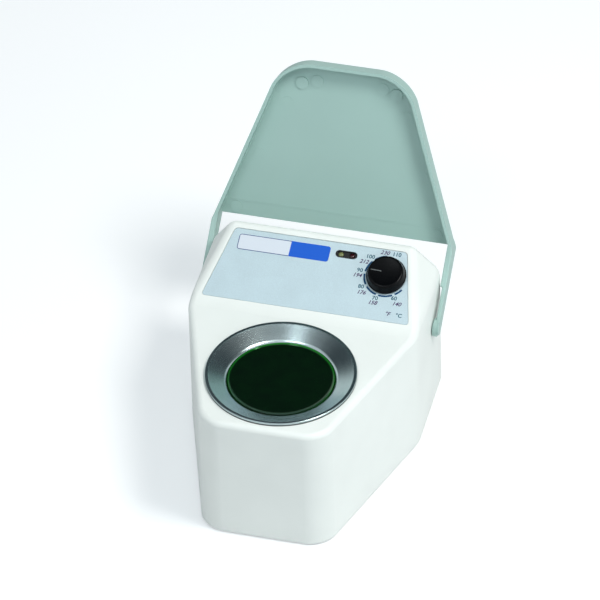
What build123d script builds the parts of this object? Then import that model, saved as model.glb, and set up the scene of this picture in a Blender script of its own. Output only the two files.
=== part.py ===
from build123d import *
from math import cos, radians, sin, sqrt, tan
import os

# Dental lab wax heater: a heated dipping pot in a moulded housing, with a sloping
# control panel behind it and a shallow lid on two arms that swings up and back.
# Millimetres, +Z up, -Y towards the user. The origin is on the table, under the
# middle of the whole part with its lid open.

# ---- housing
foot_gap = 1.2              # table to the housing's lower rim
crease_y = -8.888           # where the level deck turns into the sloping panel
half_width = 57.9           # parallel rear part, at the lower rim
front_half_width = 30.4     # sharp corner of the front wall, at the lower rim
front_reach = 82.3          # crease to the front wall
rear_reach = 51.5           # crease to the rear wall, at the lower rim
deck_height = 71.2
panel_slope = 23.0          # degrees
panel_rise_y = 44.3         # crease to the ridge, level
ridge_half_width = 45.8
wall_draft = 0.3            # degrees
wall = 2.2
front_corner_radius = 14.0
top_edge_radius = 3.0
roof_edge_radius = 3.0      # ridge, hips' rear edges and rear corners

# ---- base plate, feet and screws
base_thickness = 2.5
base_inset = 0.8            # base plate above the housing's lower rim
base_clearance = 0.25
foot_radius = 6.0
foot_recess = 0.8
rear_foot = (40.0, 32.0)     # from the crease
front_foot = (19.0, -63.3)
boss_radius = 3.6
boss_fit = 0.2
pilot_radius = 1.25
pilot_depth = 14.0
screw_radius = 1.2
screw_head_radius = 2.7
screw_head_height = 1.6
screw_length = 12.0
rear_boss = (49.5, 38.0)    # from the crease
front_boss = (26.6, -73.4)
vent_length = 26.0
vent_width = 2.4
vent_pitch = 6.0
vent_count = 5
vent_reach = 14.0           # crease to the middle vent

# ---- control panel, in panel coordinates: x across, v up the slope from the crease
plate_bottom = 4.9
plate_top = 43.2
plate_bottom_half = 51.8
plate_top_half = 43.2
plate_radius = 1.6
plate_thickness = 0.6
plate_pocket = 0.8
plate_clearance = 0.25
knob_x = 35.8
knob_v = 29.0
lamp_x = 14.0
lamp_v = 37.4
lamp_slot_length = 10.8
lamp_slot_width = 3.8
lamp_spacing = 5.6
lamp_radius = 1.35
lamp_fit = 0.05

# ---- knob and thermostat
knob_radius = 9.9
knob_top_radius = 8.5
knob_height = 4.8
knob_gap = 0.5
knob_skirt = 1.2
knob_hollow_radius = 8.0
knob_hollow_depth = 2.6
knob_roof = 1.6
knob_edge_radius = 0.9
knob_dish_depth = 0.35
hub_radius = 4.6
hub_length = 3.4            # below the panel's inner face
hub_clearance = 0.4
pointer_angle = 178.0       # degrees, the rest position against the scale
pointer_start = 2.0
pointer_length = 5.4
pointer_width = 0.8
pointer_depth = 0.4
shaft_radius = 3.0
shaft_flat = 2.2            # axis to the flat
shaft_fit = 0.05
thermostat_gap = 1.2        # hub's end to the body
thermostat_size = (20.0, 22.0, 12.0)
thermostat_shift = (3.5, 5.0)   # body centre, inboard of and below the shaft
thermostat_ear = 13.6       # body centre to each screw
thermostat_ear_width = 8.0
thermostat_ear_thickness = 1.5
post_radius = 2.6
post_pilot = 3.6
thermostat_screw_radius = 1.1
thermostat_screw_head = 2.2
thermostat_screw_length = 4.6
shaft_inside = 7.0
lamp_body_margin = 0.8
lamp_body_tall = 5.8
lamp_body_depth = 6.5
lamp_recess = 0.8
lamp_rim = 0.45
lamp_dome = 0.9
lamp_length = 8.0

# ---- dipping pot
pot_reach = 41.7            # crease to the pot's axis
flange_radius = 36.7
flange_thickness = 1.0
lip_width = 1.7
lip_step = 0.3
cone_inner_radius = 29.4
cone_depth = 2.7
pot_inner_radius = 25.6
throat_radius = 3.4
pot_wall = 2.0
pot_depth = 47.0
pot_floor = 3.0
pot_floor_radius = 6.0
wax_level = 4.7             # below the flange's face
wax_clearance = 0.05
gasket_thickness = 0.6
gasket_width = 1.9
deck_hole_clearance = 0.4
pot_boss_radius = 6.5
pot_boss_height = 6.0
spacer_thickness = 2.0
pot_screw_radius = 2.0
pot_screw_head = 4.0
pot_screw_head_height = 2.4
pot_screw_grip = 7.0
thread_fit = 0.05           # screws in their tapped holes

# ---- heater, limiter and sensor on the pot
heater_thickness = 1.6
heater_fit = 0.1
heater_low = 27.0
heater_height = 24.0
heater_gap = 17.0           # degrees, each side of the rear
heater_lug = 9.5
lug_height = 12.0
lug_thickness = 1.4
clamp_screw_radius = 1.5
sleeve_thickness = 3.6
sleeve_gap = 26.0           # degrees, each side of the rear
sleeve_fit = 0.3
bulb_radius = 2.4
bulb_length = 30.0
bulb_gap = 0.15
capillary_radius = 0.7
limiter_radius = 7.5
limiter_height = 8.0
limiter_offset = 17.0
limiter_ear = 11.0
limiter_ear_width = 6.0
limiter_ear_thickness = 1.0
limiter_screw_radius = 1.2
limiter_screw_head = 2.2
limiter_screw_head_height = 1.2
limiter_screw_grip = 2.0

# ---- mains inlet and terminal block
inlet_height = 24.0
inlet_width = 27.0
inlet_tall = 19.6
inlet_flange_width = 49.0
inlet_flange_tall = 23.0
inlet_flange_thickness = 2.6
inlet_depth = 19.0
inlet_cavity_width = 24.4
inlet_cavity_tall = 16.6
inlet_cavity_depth = 16.0
inlet_wall_fit = 0.2
pin_thickness = 2.0
pin_tall = 4.0
pin_length = 15.0
pin_tail = 8.0
pin_spacing = 7.0
pin_offset = 2.0
inlet_screw_spacing = 40.0
inlet_screw_radius = 1.5
inlet_screw_head = 2.8
block_size = (34.0, 16.0, 12.0)
block_y = 14.0              # from the crease
block_ways = 3
block_screw_radius = 2.0
block_screw_depth = 5.0
block_wire_radius = 1.6

# ---- lid, in lid coordinates: x across, u from the elbow to the tip, w out of the tray
lid_tilt = 21.5             # degrees, leaning back at rest
arm_bend = 27.2             # degrees between arm and tray
arm_reach = 37.7            # hinge to elbow
hinge_y = 32.4              # from the crease
hinge_height = 48.9
lid_tip_half_width = 31.5
lid_length = 86.0
lid_depth = 8.9
lid_wall = 1.6
lid_corner_radius = 15.0
lid_edge_radius = 1.5
tray_start = 1.3
arm_gap = 0.3               # housing's widest side to the arm
arm_width = 7.6
arm_thickness = 3.0
arm_thin = 2.0
arm_thin_length = 20.0
hinge_pin_radius = 3.0
hinge_fit = 0.05
hinge_collar_radius = 4.6
hinge_collar_gap = 0.3
hinge_pin_short = 0.4       # pin end inside the boss's face
hinge_boss_radius = 6.0
hinge_boss_depth = 3.4
mould_mark_radius = 3.0
mould_mark_height = 0.25

# ---- places worked out from the sizes
front_y = crease_y - front_reach
rear_y = crease_y + rear_reach
ridge_y = crease_y + panel_rise_y
ridge_height = deck_height + panel_rise_y * tan(radians(panel_slope))
pot_y = crease_y - pot_reach
flange_top = deck_height + gasket_thickness + flange_thickness
deck_hole_radius = flange_radius - gasket_width
pot_bottom = flange_top - pot_depth - pot_floor
pot_outer_radius = pot_inner_radius + pot_wall
base_low = foot_gap + base_inset
base_top = base_low + base_thickness
hinge_place = (crease_y + hinge_y, hinge_height)
lid_half_width = half_width + arm_gap + arm_thickness
draft_gain = tan(radians(wall_draft))
rear_top_y = rear_y - (deck_height - foot_gap) * draft_gain
rear_slope = (ridge_height - deck_height) / (rear_top_y - ridge_y)

panel = Plane(
    origin=(0, crease_y, deck_height),
    x_dir=(1, 0, 0),
    z_dir=(0, -sin(radians(panel_slope)), cos(radians(panel_slope))),
)
rear_wall = Plane(
    origin=(0, rear_y, foot_gap),
    x_dir=(-1, 0, 0),
    z_dir=(0, cos(radians(wall_draft)), sin(radians(wall_draft))),
)
arm_lean = radians(lid_tilt + arm_bend)
lid_plane = Plane(
    origin=(
        0,
        hinge_place[0] + arm_reach * sin(arm_lean),
        hinge_place[1] + arm_reach * cos(arm_lean),
    ),
    x_dir=(1, 0, 0),
    z_dir=(0, -cos(radians(lid_tilt)), sin(radians(lid_tilt))),
)
hinge_in_lid = (-arm_reach * cos(radians(arm_bend)), arm_reach * sin(radians(arm_bend)))
MIN_Z = (Align.CENTER, Align.CENTER, Align.MIN)
MAX_Z = (Align.CENTER, Align.CENTER, Align.MAX)


def plan_outline():
    corners = [
        (-half_width, rear_y),
        (-half_width, crease_y),
        (-front_half_width, front_y),
        (front_half_width, front_y),
        (half_width, crease_y),
        (half_width, rear_y),
    ]
    plan = make_face(Polyline(*corners, close=True))
    front_corners = [v for v in plan.vertices() if abs(v.Y - front_y) < 0.01]
    return fillet(front_corners, front_corner_radius)


def hip_planes():
    """The two facets from the side walls up to the ridge's ends, facing outwards."""
    start = half_width - (deck_height - foot_gap) * draft_gain
    rise = ridge_height - deck_height
    run = start - ridge_half_width
    right = Plane(origin=(start, crease_y, deck_height), z_dir=(rise, 0, run))
    left = Plane(origin=(-start, crease_y, deck_height), z_dir=(-rise, 0, run))
    return right, left


def housing_form(inset=0):
    """The housing's outside form, drawn in by the inset on every wall."""
    plan = offset(plan_outline(), -inset) if inset else plan_outline()
    prism = Pos(0, 0, foot_gap) * extrude(plan, ridge_height, taper=wall_draft)
    depth = 20
    reach = front_reach + depth
    profile = make_face(
        Polyline(
            (crease_y - reach, foot_gap - depth),
            (rear_top_y + depth, foot_gap - depth),
            (rear_top_y + depth, deck_height - depth * rear_slope),
            (ridge_y, ridge_height),
            (crease_y, deck_height),
            (crease_y - reach, deck_height),
            close=True,
        )
    )
    if inset:
        profile = offset(profile, -inset, kind=Kind.INTERSECTION)
    form = prism & extrude(Plane.YZ * profile, half_width + 10, both=True)
    for hip in hip_planes():
        form -= hip.offset(-inset) * Pos(0, 0, half_width) * Box(200, 200, 2 * half_width)
    return form


def round_edges(form):
    def long_edge(edge):
        return edge.length > 2 * top_edge_radius

    rear = [
        e for e in form.edges()
        if long_edge(e)
        and e.center().Y > ridge_y - panel_rise_y / 4
        and e.bounding_box().max.Z > foot_gap + 1
    ]
    form = fillet(rear, roof_edge_radius)
    deck = [
        e for e in form.edges()
        if abs(e.center().Z - deck_height) < 0.05 and e.center().Y < crease_y - 1
    ]
    return fillet(deck, top_edge_radius)


def boss_places():
    return [
        (side * x, crease_y + y)
        for x, y in (rear_boss, front_boss)
        for side in (-1, 1)
    ]


def lamp_slot(length, width, height):
    return extrude(SlotOverall(length, width), height)


def plate_face(grow=0.0):
    corners = [
        (-plate_bottom_half - grow, plate_bottom - grow),
        (plate_bottom_half + grow, plate_bottom - grow),
        (plate_top_half + grow, plate_top + grow),
        (-plate_top_half - grow, plate_top + grow),
    ]
    face = make_face(Polyline(*corners, close=True))
    return fillet(face.vertices(), plate_radius + grow)


def housing_shell():
    shell = round_edges(housing_form()) - housing_form(wall)
    pocket = extrude(plate_face(plate_clearance), 2 * plate_pocket)
    shell -= panel * Pos(0, 0, -plate_pocket) * pocket
    shell -= panel * Pos(knob_x, knob_v) * Cylinder(hub_radius + hub_clearance, 4 * wall)
    slot = lamp_slot(lamp_slot_length + 2 * lamp_fit, lamp_slot_width + 2 * lamp_fit, 8 * wall)
    shell -= panel * Pos(lamp_x, lamp_v, -4 * wall) * slot
    shell -= Pos(0, pot_y, deck_height) * Cylinder(deck_hole_radius, 4 * wall)
    shell += bosses() + hinge_bosses() + thermostat_posts()
    shell -= Pos(0, *hinge_place) * Rot(0, 90, 0) * Cylinder(
        hinge_pin_radius + hinge_fit, 3 * half_width
    )
    inlet = Box(inlet_width + 2 * inlet_wall_fit, inlet_tall + 2 * inlet_wall_fit, 8 * wall)
    shell -= inlet_place() * inlet
    for side in (-1, 1):
        shell -= inlet_place() * Pos(side * inlet_screw_spacing / 2, 0) * Cylinder(
            inlet_screw_radius + boss_fit, 8 * wall
        )
    return shell


def bosses():
    """Screw posts from the base plate up to the roof, trimmed to the housing's form."""
    inside = housing_form(wall / 2)
    posts = []
    for x, y in boss_places():
        post = Pos(x, y, base_top) * Cylinder(boss_radius, ridge_height, align=MIN_Z)
        post -= Pos(x, y, base_top) * Cylinder(pilot_radius, pilot_depth, align=MIN_Z)
        posts.append(post & inside)
    return posts


def hinge_bosses():
    depth = hinge_boss_depth + wall / 2
    boss = Pos(half_width - wall / 2 - depth / 2, *hinge_place) * Rot(0, 90, 0) * Cylinder(
        hinge_boss_radius, depth
    )
    return [boss, mirror(boss, Plane.YZ)]


def inlet_place():
    return rear_wall * Pos(0, inlet_height - foot_gap, 0)


def base_plate():
    slab = Pos(0, crease_y, base_low) * Box(
        4 * half_width, 4 * front_reach, base_thickness, align=MIN_Z
    )
    plate = slab & housing_form(wall + base_clearance)
    pillar_top = pot_bottom - pot_boss_height - spacer_thickness
    plate += Pos(0, pot_y, base_low) * Cylinder(
        pot_boss_radius, pillar_top - base_low, align=MIN_Z
    )
    plate -= Pos(0, pot_y, 0) * Cylinder(pot_screw_radius + boss_fit, ridge_height)
    plate -= Pos(0, pot_y, base_low) * Cylinder(
        pot_screw_head + boss_fit, 2 * (pot_screw_head_height + foot_recess)
    )
    for x, y in boss_places():
        plate -= Pos(x, y, base_low) * Cylinder(screw_radius + boss_fit, 4 * base_thickness)
        plate -= Pos(x, y, base_low) * Cylinder(
            screw_head_radius + boss_fit, 2 * screw_head_height
        )
    for x, y in foot_places():
        plate -= Pos(x, y, base_low) * Cylinder(foot_radius + boss_fit, 2 * foot_recess)
    slot = Pos(0, 0, -base_thickness) * lamp_slot(vent_length, vent_width, 3 * base_thickness)
    for n in range(vent_count):
        row = (n - (vent_count - 1) / 2) * vent_pitch
        plate -= Pos(0, crease_y - vent_reach + row, base_low) * slot
    return plate


def foot_places():
    return [
        (side * x, crease_y + y)
        for x, y in (rear_foot, front_foot)
        for side in (-1, 1)
    ]


def rubber_feet():
    height = base_low + foot_recess
    foot = Cylinder(foot_radius, height, align=MIN_Z)
    foot = chamfer(foot.edges().group_by(Axis.Z)[0], foot_radius / 10)
    return [Pos(x, y, 0) * foot for x, y in foot_places()]


def headed_screw(radius, length, head_radius, head_height):
    """A screw along +Z with its head under the origin plane."""
    shank = Cylinder(radius, length, align=MIN_Z)
    head = Cylinder(head_radius, head_height, align=MAX_Z)
    head = fillet(head.edges().group_by(Axis.Z)[0], head_height / 3)
    return shank + head


def base_screws():
    screw = headed_screw(screw_radius, screw_length, screw_head_radius, screw_head_height)
    return [Pos(x, y, base_low + screw_head_height) * screw for x, y in boss_places()]


def panel_plate():
    plate = extrude(plate_face(), plate_thickness)
    plate -= Pos(knob_x, knob_v) * Cylinder(
        hub_radius + hub_clearance, 4 * plate_thickness
    )
    slot = lamp_slot(
        lamp_slot_length + 2 * lamp_fit, lamp_slot_width + 2 * lamp_fit, 4 * plate_thickness
    )
    plate -= Pos(lamp_x, lamp_v, -plate_thickness) * slot
    return panel * Pos(0, 0, -plate_pocket) * plate


def lamp_centres():
    return [(lamp_x - lamp_spacing / 2, lamp_v), (lamp_x + lamp_spacing / 2, lamp_v)]


def lamp_holder():
    length = lamp_slot_length + 2 * lamp_body_margin
    body = Pos(lamp_x, lamp_v, -wall) * Box(
        length, lamp_body_tall, lamp_body_depth, align=MAX_Z
    )
    body += Pos(lamp_x, lamp_v, -wall) * lamp_slot(lamp_slot_length, lamp_slot_width, wall)
    recess = lamp_slot(
        lamp_slot_length - 2 * lamp_rim, lamp_slot_width - 2 * lamp_rim, 2 * lamp_recess
    )
    body -= Pos(lamp_x, lamp_v, -lamp_recess) * recess
    for x, v in lamp_centres():
        body -= Pos(x, v) * Cylinder(lamp_radius + lamp_fit, 4 * lamp_body_depth)
    return panel * body


def lamp(number):
    x, v = lamp_centres()[number]
    lens = Cylinder(lamp_radius, lamp_length, align=MAX_Z)
    lens = fillet(lens.edges().group_by(Axis.Z)[-1], lamp_dome)
    return panel * Pos(x, v, -lamp_rim) * lens


def knob_place():
    return panel * Pos(knob_x, knob_v, plate_thickness - plate_pocket)


def shaft_profile(fit=0.0):
    """A round shaft with a flat, as a face."""
    round_part = Circle(shaft_radius + fit)
    top = shaft_flat + fit
    keep = Pos(0, top) * Rectangle(
        4 * shaft_radius, 4 * shaft_radius, align=(Align.CENTER, Align.MAX)
    )
    return round_part & keep


def knob_blank():
    side = make_face(
        Polyline(
            (0, 0),
            (knob_radius, 0),
            (knob_radius, knob_skirt),
            (knob_top_radius, knob_height),
            (0, knob_height),
            close=True,
        )
    )
    rounded = [v for v in side.vertices() if v.X > 1 and v.Y > knob_skirt / 2]
    side = fillet(rounded, knob_edge_radius)
    blank = revolve(Plane.XZ * side, Axis.Z)
    rim = knob_top_radius - knob_edge_radius
    sphere_radius = (rim**2 + knob_dish_depth**2) / (2 * knob_dish_depth)
    blank -= Pos(0, 0, knob_height - knob_dish_depth + sphere_radius) * Sphere(sphere_radius)
    blank -= Cylinder(knob_hollow_radius, knob_hollow_depth, align=MIN_Z)
    blank = Pos(0, 0, knob_gap) * blank
    hub_top = knob_gap + knob_hollow_depth
    blank += Pos(0, 0, hub_low()) * Cylinder(hub_radius, hub_top - hub_low(), align=MIN_Z)
    bore_height = knob_gap + knob_height - knob_roof - hub_low()
    return blank - Pos(0, 0, hub_low()) * extrude(shaft_profile(shaft_fit), bore_height)


def hub_low():
    """The hub's lower end, from the plate's face."""
    return plate_pocket - plate_thickness - wall - hub_length


def pointer_groove():
    cut = Pos(pointer_start + pointer_length / 2, 0, knob_gap + knob_height) * Box(
        pointer_length, pointer_width, 2 * (pointer_depth + knob_dish_depth)
    )
    return Rot(0, 0, pointer_angle) * cut


def control_knob():
    return knob_place() * (knob_blank() - pointer_groove())


def knob_pointer():
    return knob_place() * (knob_blank() & pointer_groove())


def thermostat_top():
    """The thermostat body's upper face, from the panel's outer face."""
    return -wall - hub_length - thermostat_gap


def thermostat_place():
    x = knob_x - thermostat_shift[0]
    v = knob_v - thermostat_shift[1]
    return panel * Pos(x, v, thermostat_top())


def ear_places():
    return [(0, side * thermostat_ear) for side in (-1, 1)]


def thermostat_shaft():
    knob_end = knob_gap + knob_height - knob_roof - shaft_fit
    flat_start = hub_low() - thermostat_gap / 2
    low = thermostat_top() + plate_pocket - plate_thickness - shaft_inside
    shaft = Pos(0, 0, low) * Cylinder(shaft_radius, flat_start - low, align=MIN_Z)
    shaft += Pos(0, 0, flat_start) * extrude(shaft_profile(), knob_end - flat_start)
    return knob_place() * shaft


def thermostat_body():
    width, tall, depth = thermostat_size
    body = Box(width, tall, depth, align=MAX_Z)
    body = fillet(body.edges().filter_by(Axis.Z), top_edge_radius / 2)
    strap = Rectangle(thermostat_ear_width, 2 * thermostat_ear)
    for x, v in ear_places():
        strap += Pos(x, v) * Circle(thermostat_ear_width / 2)
    body += extrude(strap, -thermostat_ear_thickness)
    for x, v in ear_places():
        body -= Pos(x, v) * Cylinder(thermostat_screw_radius + boss_fit, depth)
    body -= Pos(*thermostat_shift, 0) * Cylinder(
        shaft_radius + shaft_fit, 2 * (shaft_inside + shaft_fit)
    )
    body += Pos(0, 0, -depth) * Cylinder(
        3 * capillary_radius, 3 * capillary_radius, align=MAX_Z
    )
    return thermostat_place() * body


def thermostat_screws():
    screw = headed_screw(
        thermostat_screw_radius,
        thermostat_screw_length,
        thermostat_screw_head,
        thermostat_screw_radius,
    )
    seat = thermostat_place() * Pos(0, 0, -thermostat_ear_thickness)
    return [seat * Pos(x, v) * screw for x, v in ear_places()]


def thermostat_posts():
    post = Cylinder(post_radius, -wall / 2 - thermostat_top(), align=MIN_Z)
    post -= Cylinder(thermostat_screw_radius + shaft_fit, 2 * post_pilot)
    return [thermostat_place() * Pos(x, v) * post for x, v in ear_places()]


def pot_cavity(clearance=0.0, level=0.0):
    """The pot's inside as a face in radius and height, under the given level."""
    lip = flange_radius - lip_width
    slope = (cone_depth - lip_step) / (lip - cone_inner_radius)
    throat = -cone_depth - slope * (cone_inner_radius - pot_inner_radius)
    face = make_face(
        Polyline(
            (0, -pot_depth),
            (pot_inner_radius, -pot_depth),
            (pot_inner_radius, throat),
            (lip, -lip_step),
            (lip, flange_thickness),
            (0, flange_thickness),
            close=True,
        )
    )
    floor = [v for v in face.vertices() if v.X > 1 and v.Y < 1 - pot_depth]
    face = fillet(floor, pot_floor_radius)
    bend = [v for v in face.vertices() if abs(v.Y - throat) < 0.01]
    face = fillet(bend, throat_radius)
    if clearance:
        face = offset(face, -clearance, kind=Kind.INTERSECTION)
        drop = Rectangle(2 * flange_radius, pot_depth, align=(Align.CENTER, Align.MAX))
        face = face & Pos(0, level) * drop
    return face


def spin(face):
    half = face & Pos(2 * flange_radius, 0) * Rectangle(4 * flange_radius, 8 * pot_depth)
    return revolve(Plane.XZ * half, Axis.Z)


def dipping_pot():
    shoulder = deck_hole_radius - deck_hole_clearance
    cone_low = -cone_depth - pot_wall
    outside = make_face(
        Polyline(
            (0, -pot_depth - pot_floor),
            (pot_outer_radius, -pot_depth - pot_floor),
            (pot_outer_radius, cone_low - pot_wall),
            (cone_inner_radius, cone_low),
            (shoulder, -flange_thickness - lip_step),
            (shoulder, -flange_thickness),
            (flange_radius, -flange_thickness),
            (flange_radius, 0),
            (0, 0),
            close=True,
        )
    )
    floor = [v for v in outside.vertices() if v.X > 1 and v.Y < -pot_depth]
    outside = fillet(floor, pot_floor_radius)
    pot = spin(outside) - spin(pot_cavity())
    pot += Pos(0, 0, -pot_depth - pot_floor) * Cylinder(
        pot_boss_radius, pot_boss_height, align=MAX_Z
    )
    pot -= Pos(0, 0, -pot_depth - pot_floor - pot_boss_height) * Cylinder(
        pot_screw_radius + thread_fit, 2 * pot_screw_grip
    )
    for x in (-limiter_ear, limiter_ear):
        pot -= Pos(x, limiter_offset, -pot_depth - pot_floor) * Cylinder(
            limiter_screw_radius + thread_fit, 2 * (limiter_screw_grip + thread_fit)
        )
    return Pos(0, pot_y, flange_top) * pot


def wax_fill():
    wax = spin(pot_cavity(wax_clearance, -wax_level))
    return Pos(0, pot_y, flange_top) * wax


def pot_gasket():
    ring = Cylinder(flange_radius, gasket_thickness, align=MIN_Z)
    ring -= Cylinder(deck_hole_radius, 4 * gasket_thickness)
    return Pos(0, pot_y, deck_height) * ring


def pot_spacer():
    ring = Cylinder(pot_boss_radius, spacer_thickness, align=MAX_Z)
    ring -= Cylinder(pot_screw_radius + boss_fit, 4 * spacer_thickness)
    return Pos(0, pot_y, pot_bottom - pot_boss_height) * ring


def pot_screw():
    seat = base_low + pot_screw_head_height + foot_recess
    top = pot_bottom - pot_boss_height + pot_screw_grip - boss_fit
    screw = headed_screw(pot_screw_radius, top - seat, pot_screw_head, pot_screw_head_height)
    return Pos(0, pot_y, seat) * screw


def open_ring(inner, outer, height, gap):
    """A ring round the pot, open at the rear by the gap angle to each side."""
    ring = Cylinder(outer, height, align=MIN_Z) - Cylinder(inner, 4 * height)
    reach = 2 * outer
    wedge = make_face(
        Polyline(
            (0, 0),
            (reach * sin(radians(gap)), reach * cos(radians(gap))),
            (-reach * sin(radians(gap)), reach * cos(radians(gap))),
            close=True,
        )
    )
    return ring - Pos(0, 0, -height) * extrude(wedge, 3 * height)


def lug_place():
    """Half the distance between the heater's lugs, and the clamp screw's reach."""
    inner = pot_outer_radius + heater_fit
    across = (inner + heater_thickness / 2) * sin(radians(heater_gap))
    reach = inner + heater_lug - 2 * clamp_screw_radius
    return across, reach


def heater_band():
    inner = pot_outer_radius + heater_fit
    band = open_ring(inner, inner + heater_thickness, heater_height, heater_gap)
    across, reach = lug_place()
    start = sqrt((inner + heater_thickness / 4) ** 2 - (across - lug_thickness / 2) ** 2)
    lug = Box(
        lug_thickness,
        inner + heater_lug - start,
        lug_height,
        align=(Align.CENTER, Align.MIN, Align.CENTER),
    )
    for side in (-1, 1):
        band += Pos(side * across, start, heater_height / 2) * lug
    band -= Pos(0, reach, heater_height / 2) * Rot(0, 90, 0) * Cylinder(
        clamp_screw_radius + boss_fit, 8 * across
    )
    return Pos(0, pot_y, heater_low) * band


def clamp_screw():
    across, reach = lug_place()
    seat = across + lug_thickness / 2
    screw = headed_screw(
        clamp_screw_radius, 3 * seat, 2 * clamp_screw_radius, 1.2 * clamp_screw_radius
    )
    nut = Pos(0, 0, 2 * seat) * extrude(
        RegularPolygon(2 * clamp_screw_radius, 6), 1.6 * clamp_screw_radius
    )
    place = Pos(-seat, pot_y + reach, heater_low + heater_height / 2) * Rot(0, 90, 0)
    return place * (screw + nut)


def insulation_sleeve():
    inner = pot_outer_radius + heater_fit + heater_thickness + sleeve_fit
    sleeve = open_ring(inner, inner + sleeve_thickness, heater_height, sleeve_gap)
    return Pos(0, pot_y, heater_low) * sleeve


def bulb_centre():
    return pot_y + pot_outer_radius + bulb_gap + bulb_radius


def sensor_bulb():
    bulb = Cylinder(bulb_radius, bulb_length, align=MIN_Z)
    bulb = fillet(bulb.edges(), bulb_radius / 2)
    return Pos(0, bulb_centre(), heater_low) * bulb


def capillary_tube():
    bend = 4 * capillary_radius
    exit_low = -thermostat_size[2] - 3 * capillary_radius
    start = thermostat_place() * Pos(0, 0, exit_low)
    down = thermostat_place() * Pos(0, 0, exit_low - 3 * bend)
    start, down = start.position, down.position
    end = Vector(0, bulb_centre(), heater_low + bulb_length)
    over = end + Vector(0, 0, 3 * bend)
    middle = (down + over) * 0.5 - Vector(0, 0, bend)
    path = FilletPolyline(start, down, middle, over, end, radius=bend)
    start_plane = Plane(origin=start, z_dir=down - start)
    return sweep(start_plane * Circle(capillary_radius), path=path)


def limiter():
    disc = Cylinder(limiter_radius, limiter_height, align=MAX_Z)
    strap = SlotCenterToCenter(2 * limiter_ear, limiter_ear_width)
    disc += extrude(strap, -limiter_ear_thickness)
    for x in (-limiter_ear, limiter_ear):
        disc -= Pos(x, 0) * Cylinder(limiter_screw_radius + thread_fit, limiter_height)
    return Pos(0, pot_y + limiter_offset, pot_bottom) * disc


def limiter_screws():
    screw = headed_screw(
        limiter_screw_radius,
        limiter_ear_thickness + limiter_screw_grip,
        limiter_screw_head,
        limiter_screw_head_height,
    )
    place = Pos(0, pot_y + limiter_offset, pot_bottom - limiter_ear_thickness)
    return [place * Pos(x, 0) * screw for x in (-limiter_ear, limiter_ear)]


def power_inlet():
    socket = Box(inlet_width, inlet_tall, inlet_depth, align=MAX_Z)
    socket = fillet(socket.edges().filter_by(Axis.Z), inlet_wall_fit * 8)
    flange = extrude(
        RectangleRounded(inlet_flange_width, inlet_flange_tall, inlet_flange_thickness),
        inlet_flange_thickness,
    )
    socket += flange
    cavity = extrude(
        RectangleRounded(inlet_cavity_width, inlet_cavity_tall, inlet_flange_thickness),
        2 * inlet_cavity_depth,
    )
    socket -= Pos(0, 0, inlet_flange_thickness - inlet_cavity_depth) * cavity
    for x, y in pin_places():
        socket -= Pos(x, y) * Box(pin_thickness, pin_tall, 4 * inlet_depth)
    for side in (-1, 1):
        socket -= Pos(side * inlet_screw_spacing / 2, 0) * Cylinder(
            inlet_screw_radius + boss_fit, 4 * inlet_flange_thickness
        )
    return inlet_place() * socket


def pin_places():
    return [(-pin_spacing, -pin_offset), (0, pin_offset), (pin_spacing, -pin_offset)]


def inlet_pins():
    root = inlet_flange_thickness - inlet_cavity_depth
    pin = Pos(0, 0, root - pin_tail) * Box(
        pin_thickness, pin_tall, pin_tail + pin_length - inlet_flange_thickness, align=MIN_Z
    )
    return [inlet_place() * Pos(x, y) * pin for x, y in pin_places()]


def inlet_screws():
    screw = headed_screw(
        inlet_screw_radius,
        inlet_flange_thickness + 3 * wall,
        inlet_screw_head,
        inlet_screw_radius,
    )
    turned = Pos(0, 0, inlet_flange_thickness) * Rot(180, 0, 0) * screw
    return [
        inlet_place() * Pos(side * inlet_screw_spacing / 2, 0) * turned for side in (-1, 1)
    ]


def block_ways_x():
    pitch = block_size[0] / block_ways
    return [(n - (block_ways - 1) / 2) * pitch for n in range(block_ways)]


def terminal_block():
    length, depth, height = block_size
    block = Box(length, depth, height, align=MIN_Z)
    block = fillet(block.edges().group_by(Axis.Z)[-1], height / 12)
    for x in block_ways_x():
        block -= Pos(x, 0, height / 3) * Rot(90, 0, 0) * Cylinder(block_wire_radius, 2 * depth)
        block -= Pos(x, 0, height) * Cylinder(
            block_screw_radius + thread_fit, 2 * block_screw_depth
        )
    return Pos(0, crease_y + block_y, base_top) * block


def terminal_screws():
    screw = Cylinder(block_screw_radius, block_screw_depth / 2, align=MIN_Z)
    screw -= Pos(0, 0, block_screw_depth / 2) * Box(
        4 * block_screw_radius, block_screw_radius / 3, block_screw_depth / 3
    )
    seat = base_top + block_size[2] - block_screw_depth
    return [Pos(x, crease_y + block_y, seat) * screw for x in block_ways_x()]


def tray_face(inset=0.0):
    """The lid's outline, run on past the elbow so that the rear side can be left open."""
    spread = (lid_half_width - lid_tip_half_width) / lid_length
    low = tray_start - 2 * arm_width
    corners = [
        (-lid_half_width + spread * low, low),
        (lid_half_width - spread * low, low),
        (lid_tip_half_width, lid_length),
        (-lid_tip_half_width, lid_length),
    ]
    face = make_face(Polyline(*corners, close=True))
    face = fillet([v for v in face.vertices() if v.Y > 1], lid_corner_radius)
    return offset(face, -inset) if inset else face


def mould_marks():
    places = [
        (-22.1, 73.9),
        (-14.6, 75.6),
        (18.4, 76.0),
        (25.5, 74.2),
        (-29.0, 62.6),
        (31.2, 63.2),
        (-41.0, 34.0),
        (41.0, 34.0),
        (-51.0, 5.0),
        (51.0, 5.0),
    ]
    disc = Cylinder(mould_mark_radius, mould_mark_height + lid_wall / 2, align=MIN_Z)
    return [Pos(x, u, lid_wall / 2 - lid_depth) * disc for x, u in places]


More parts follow.
